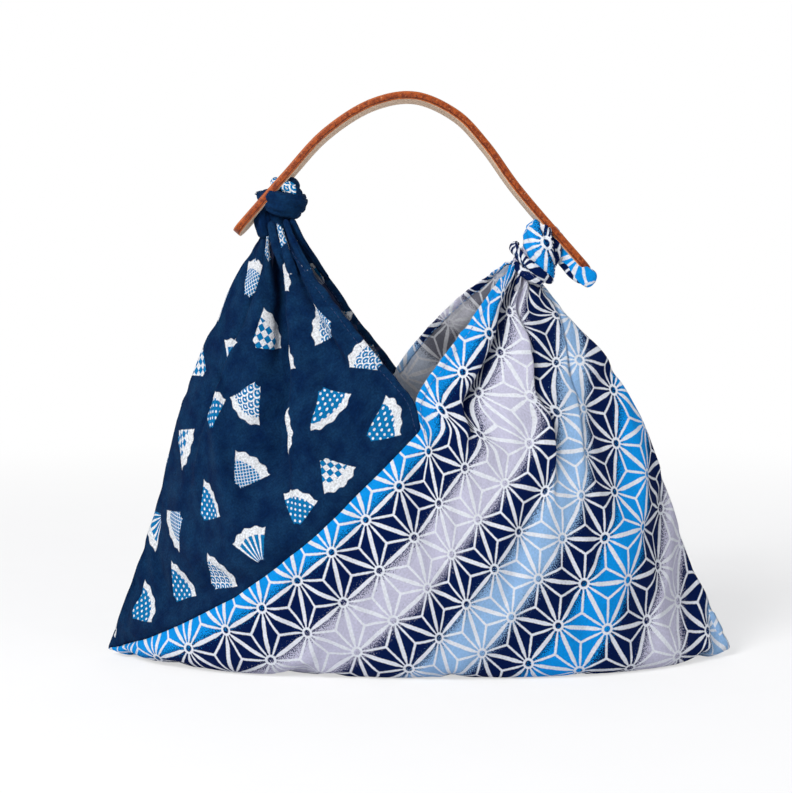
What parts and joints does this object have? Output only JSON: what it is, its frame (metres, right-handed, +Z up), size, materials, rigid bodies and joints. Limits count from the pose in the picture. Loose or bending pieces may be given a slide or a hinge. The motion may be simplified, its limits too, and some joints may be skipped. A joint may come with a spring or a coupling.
{
  "type": "azuma bag",
  "caption": "Soft triangular bag folded from a strip of printed cotton, its two corners tied through the slots of a curved leather handle.",
  "frame": {"origin": "middle of the bottom of the bag's box, on the surface it rests on", "axes": "+Z up, +X to the right and +Y to the back when the front, with the slanting seam, is looked at"},
  "size_m": [0.3376, 0.1028, 0.3043],
  "materials": {
    "navy_cotton": "matt plain-weave cotton printed navy with small blue and cream fan shapes",
    "hemp_leaf_cotton": "matt plain-weave cotton with a hemp-leaf star grid in white over bands of navy, blue and pale lavender",
    "tanned_leather": "satin vegetable-tanned grain side and burnished edges, pale flesh side"
  },
  "bodies": {
    "root": {"navy_panel": "navy_cotton", "asanoha_panel": "hemp_leaf_cotton", "leather_handle": "tanned_leather"}
  },
  "joints": []
}
